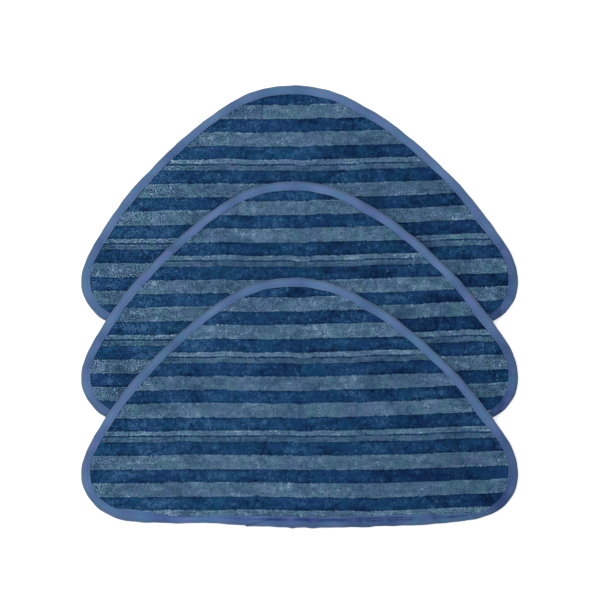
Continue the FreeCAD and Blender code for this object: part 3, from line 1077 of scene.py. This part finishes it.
def binding(pad, paint):
    """The tape round the pad's edge, and its end, lapped over its start at the front."""
    stations = round(OUTLINE.length / STITCH_PITCH) * STATIONS_A_STITCH
    tape = Tape(np.arange(stations)[:, None] * OUTLINE.length / stations)

    inset, height, _ = tape_line(LAP_LEG)
    slant = LAP_SLANT * (1 - np.clip(inset / LAP_LEG, 0, 1)) * (height > SLANT_BOTTOM)
    start = OUTLINE.front_middle + LAP_START - slant
    end = OUTLINE.front_middle + LAP_END
    share = np.linspace(0, 1, LAP_STATIONS)[:, None]
    lap = Tape(start + (end - start) * share, LAP_LEG, TAPE / 2 + LAP_GAP, LAP_LUMPS)
    return tape.add(pad, "edge_tape", paint), lap.add(pad, "edge_tape_lap", paint)


def stitches(pad, name, height, sag, paint):
    """One thread of the seam: a row of short stitches whose ends dip into the tape."""
    count = round(OUTLINE.length / STITCH_PITCH)
    sides = 6
    rows = np.array([-1.0, -0.9, -0.55, 0.0, 0.55, 0.9, 1.0])
    girth = np.array([0.15, 0.75, 1.0, 1.0, 1.0, 0.75, 0.15])
    turn = np.arange(sides) * TURN / sides
    middle = (np.arange(count) + 0.5) * OUTLINE.length / count
    run = rows * STITCH_LENGTH / 2
    along, inset, level = np.broadcast_arrays(
        middle[:, None, None] + run[:, None],
        SEAM_INSET + THREAD_RADIUS * girth[:, None] * np.cos(turn),
        height - sag * rows[:, None] ** 2 + THREAD_RADIUS * girth[:, None] * np.sin(turn))
    points = np.stack([*OUTLINE.place(along, inset), level], axis=-1)

    walls, row, side, _ = tube(len(rows), sides)
    near = np.arange(sides)[None, ::-1]
    far = np.arange(sides)[None] + (len(rows) - 1) * sides
    each = len(rows) * sides
    faces = [repeat_faces(walls, each, count), repeat_faces(np.vstack([near, far]), each, count)]
    step = THREAD_ROUND / sides
    wall_map = tube_map(run[row], run[row + 1], side * step, (side + 1) * step)
    corners = np.vstack([np.tile(wall_map, (count, 1)), np.zeros((2 * sides * count, 2))])
    return add_piece(pad, name, "thread", paint, points, faces, corners=corners)


def make_pad(pad, paints, plans):
    """All of one pad's pieces, in the place of its CAD solids."""
    ground = face_cloth(pad, plans["cloth"], paints["ground"])
    light = pile(pad, "light_pile", LIGHT_STRIPES, LIGHT_LOOK, paints["light"])
    dark = pile(pad, "dark_pile", DARK_STRIPES, DARK_LOOK, paints["dark"])
    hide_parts(pad.name + "_face_cloth")

    wadding = core(pad, plans["core"], paints["wadding"])
    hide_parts(pad.name + "_core")

    back = backing(pad, plans["cloth"], paints["backing"])
    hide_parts(pad.name + "_backing")

    tape, lap = binding(pad, paints["tape"])
    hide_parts(pad.name + "_binding")

    for thread, (height, sag) in THREADS.items():
        seam = stitches(pad, thread + "_stitches", height, sag, paints["thread"])
        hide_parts(pad.name + "_" + thread + "_thread")


def add_floor(paint):
    """A flat table that fills every view."""
    corners = FLOOR_HALF_WIDTH * np.array([(-1, -1, 0), (1, -1, 0), (1, 1, 0), (-1, 1, 0)])
    floor = make_mesh("floor", corners, [np.array([(0, 1, 2, 3)])])
    floor.data.materials.append(paint)


def add_lights():
    """White light from all round, and a softbox at the upper left."""
    world = bpy.data.worlds.new("studio")
    bpy.context.scene.world = world
    world.use_nodes = True
    background = world.node_tree.nodes["Background"]
    background.inputs["Color"].default_value = (1.0, 1.0, 1.0, 1.0)
    background.inputs["Strength"].default_value = WORLD_LIGHT

    data = bpy.data.lights.new("softbox", "AREA")
    data.shape = "RECTANGLE"
    data.size, data.size_y = SOFTBOX_SIZE
    data.energy = SOFTBOX_POWER
    softbox = bpy.data.objects.new("softbox", data)
    bpy.context.scene.collection.objects.link(softbox)
    softbox.location = SOFTBOX_PLACE
    softbox.rotation_euler = (-softbox.location).to_track_quat("-Z", "Y").to_euler()


def add_camera():
    """Straight above the fan, with a lens so long that there is almost no perspective."""
    data = bpy.data.cameras.new("camera")
    data.sensor_width = SENSOR_WIDTH
    data.lens = SENSOR_WIDTH * CAMERA_HEIGHT / VIEW_WIDTH
    data.clip_end = 100.0
    camera = bpy.data.objects.new("camera", data)
    bpy.context.scene.collection.objects.link(camera)
    middle = (Vector(cad_low) + Vector(cad_high)) / 2
    camera.location = (middle.x + VIEW_OFFSET[0], middle.y + VIEW_OFFSET[1], CAMERA_HEIGHT)
    bpy.context.scene.camera = camera


add_camera()
add_lights()
add_floor(floor_paint())

paints = {
    "light": light_pile_paint(), "dark": dark_pile_paint(), "ground": ground_paint(), "tape": tape_paint(),
    "thread": thread_paint(), "backing": backing_paint(), "wadding": wadding_paint(),
}
plans = {"cloth": Plan(CLOTH_INSET, CLOTH_SPACING), "core": Plan(CORE_INSET, CORE_SPACING)}
for pad in (Pad("rear", 0, 21), Pad("middle", 1, 41), Pad("front", 2, 61)):
    make_pad(pad, paints, plans)

bpy.context.scene.view_settings.view_transform = "Standard"
